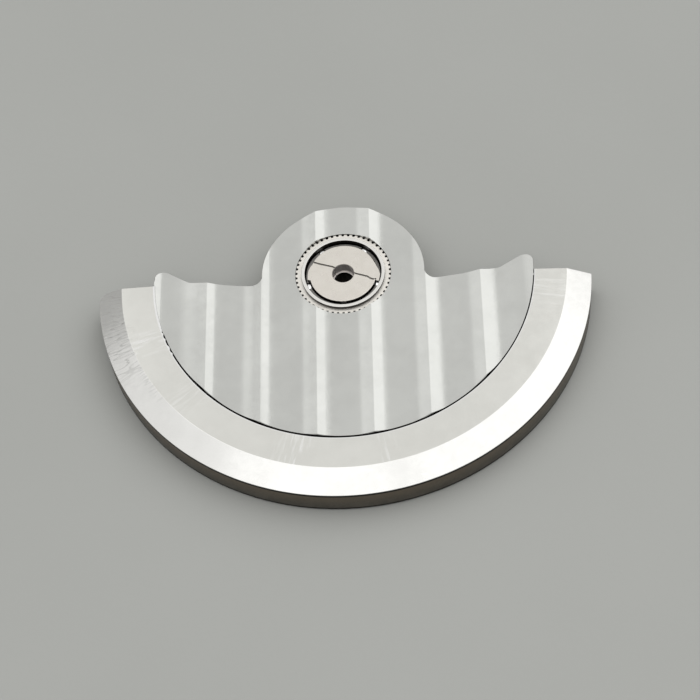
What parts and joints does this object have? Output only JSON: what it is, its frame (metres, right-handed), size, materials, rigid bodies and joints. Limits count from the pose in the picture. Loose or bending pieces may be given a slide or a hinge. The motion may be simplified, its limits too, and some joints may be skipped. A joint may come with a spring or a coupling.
{
  "type": "automatic watch rotor",
  "caption": "Half-disc oscillating weight of a self-winding watch: striped plate with two horns, heavy outer segment, and a ball bearing with a knurled rim and a split core.",
  "frame": {"origin": "on the bearing's axis, in the plane of the core's seat on the movement", "axes": "+Z along the bearing's axis, out of the striped face; +X to the right of the half disc; the weight hangs towards -Y"},
  "size_m": [0.025, 0.0166, 0.002],
  "materials": {
    "segment_metal": "heavy metal, fine-turned land and bright sloping rim",
    "plate_plating": "brass with satin nickel plating and shallow stripes",
    "race_steel": "satin knurled flange with a polished lip",
    "core_steel": "lapped flat and polished, warm in tone",
    "ball_steel": "mirror polished",
    "cage_steel": "dull stamped strip",
    "gear_brass": "gilt, cut teeth",
    "rivet_steel": "filed flush"
  },
  "bodies": {
    "core": {"inner_race_half_rear": "core_steel", "inner_race_half_front": "core_steel"},
    "weight": {"heavy_segment": "segment_metal", "carrier_plate": "plate_plating", "bearing_outer_race": "race_steel", "drive_gear": "gear_brass", "rivet_1": "rivet_steel", "rivet_2": "rivet_steel", "rivet_3": "rivet_steel", "rivet_4": "rivet_steel", "rivet_5": "rivet_steel"},
    "cage": {"ball_cage": "cage_steel"},
    "ball_1": {"ball_1": "ball_steel"},
    "ball_2": {"ball_2": "ball_steel"},
    "ball_3": {"ball_3": "ball_steel"},
    "ball_4": {"ball_4": "ball_steel"},
    "ball_5": {"ball_5": "ball_steel"}
  },
  "joints": [
    {"name": "weight_spin", "type": "hinge", "parent": "core", "child": "weight", "pos_m": [0, 0, 0], "axis": [0, 0, 1], "continuous": true},
    {"name": "cage_spin", "type": "hinge", "parent": "core", "child": "cage", "pos_m": [0, 0, 0], "axis": [0, 0, 1], "continuous": true},
    {"name": "ball_1_spin", "type": "hinge", "parent": "cage", "child": "ball_1", "pos_m": [0, -0.00183, 0.00109], "axis": [0, 0, 1], "continuous": true},
    {"name": "ball_2_spin", "type": "hinge", "parent": "cage", "child": "ball_2", "pos_m": [0.00174, -0.00056, 0.00109], "axis": [0, 0, 1], "continuous": true},
    {"name": "ball_3_spin", "type": "hinge", "parent": "cage", "child": "ball_3", "pos_m": [0.00107, 0.00148, 0.00109], "axis": [0, 0, 1], "continuous": true},
    {"name": "ball_4_spin", "type": "hinge", "parent": "cage", "child": "ball_4", "pos_m": [-0.00107, 0.00148, 0.00109], "axis": [0, 0, 1], "continuous": true},
    {"name": "ball_5_spin", "type": "hinge", "parent": "cage", "child": "ball_5", "pos_m": [-0.00174, -0.00056, 0.00109], "axis": [0, 0, 1], "continuous": true}
  ],
  "couplings": [
    {"joint": "cage_spin", "follows": "weight_spin", "ratio": 0.59589},
    {"joint": "ball_1_spin", "follows": "weight_spin", "ratio": 2.5113},
    {"joint": "ball_2_spin", "follows": "weight_spin", "ratio": 2.5113},
    {"joint": "ball_3_spin", "follows": "weight_spin", "ratio": 2.5113},
    {"joint": "ball_4_spin", "follows": "weight_spin", "ratio": 2.5113},
    {"joint": "ball_5_spin", "follows": "weight_spin", "ratio": 2.5113}
  ]
}
